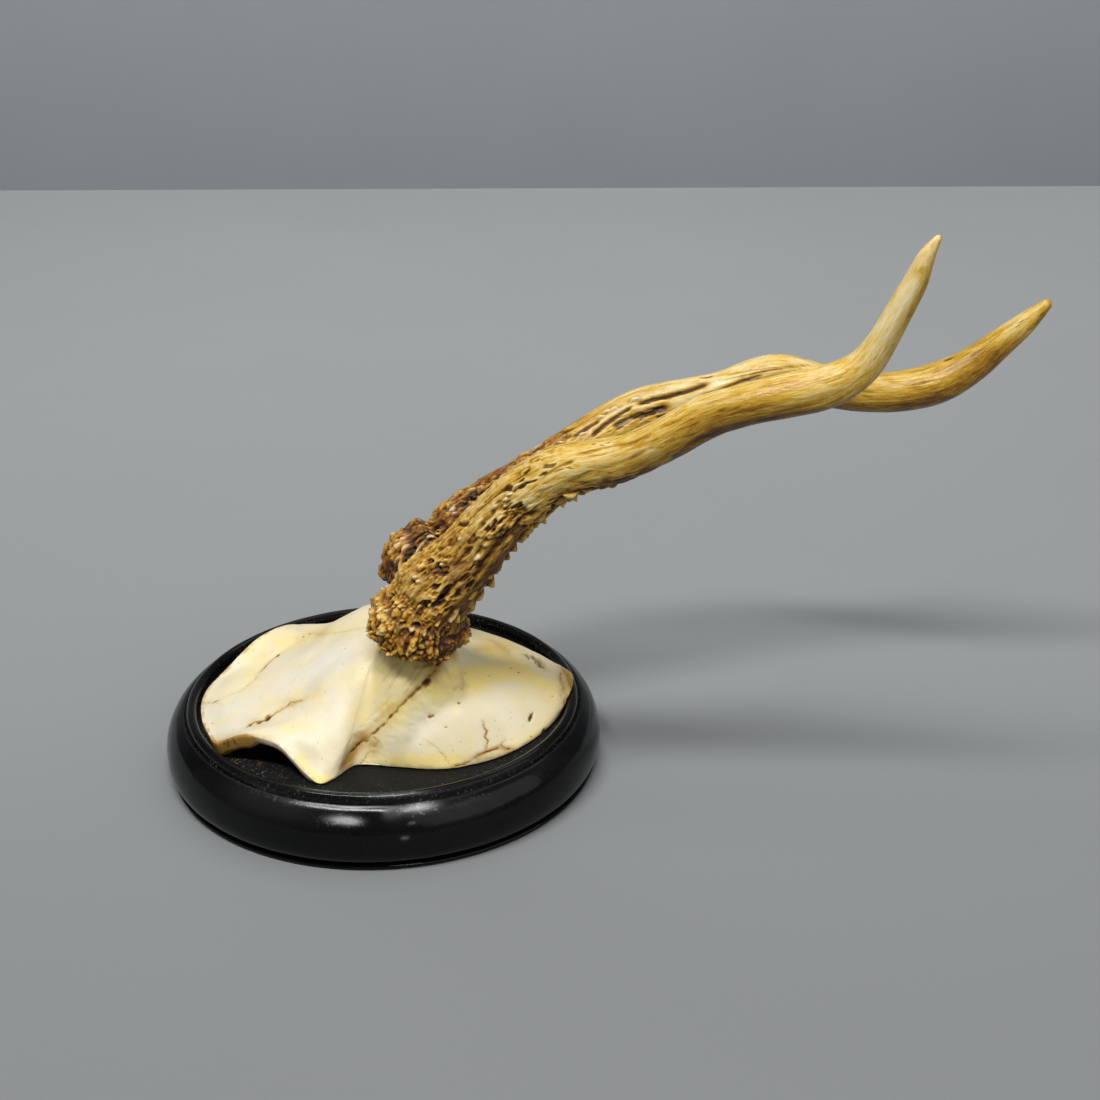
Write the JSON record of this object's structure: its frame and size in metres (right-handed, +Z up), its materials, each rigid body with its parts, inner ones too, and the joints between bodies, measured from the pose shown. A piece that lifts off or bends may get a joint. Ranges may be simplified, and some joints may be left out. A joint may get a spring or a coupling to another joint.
{
  "type": "mounted deer antlers",
  "caption": "Wavy, pearled roe deer antlers on their sawn-off skull cap, which rests in the sunk top of a round turned wooden base.",
  "frame": {"origin": "centre of the round base's flat underside", "axes": "+Z up; X along the skull, with the brow end towards -X and the antlers leaning back and out towards +X; +Y towards the antler that is farther from the camera in the picture"},
  "size_m": [0.254, 0.125, 0.1659],
  "materials": {
    "ebonised_wood": "satin",
    "bone": "satin",
    "antler": "satin"
  },
  "bodies": {
    "root": {"base": "ebonised_wood", "skull_cap": "bone", "left_antler": "antler", "right_antler": "antler"}
  },
  "joints": []
}
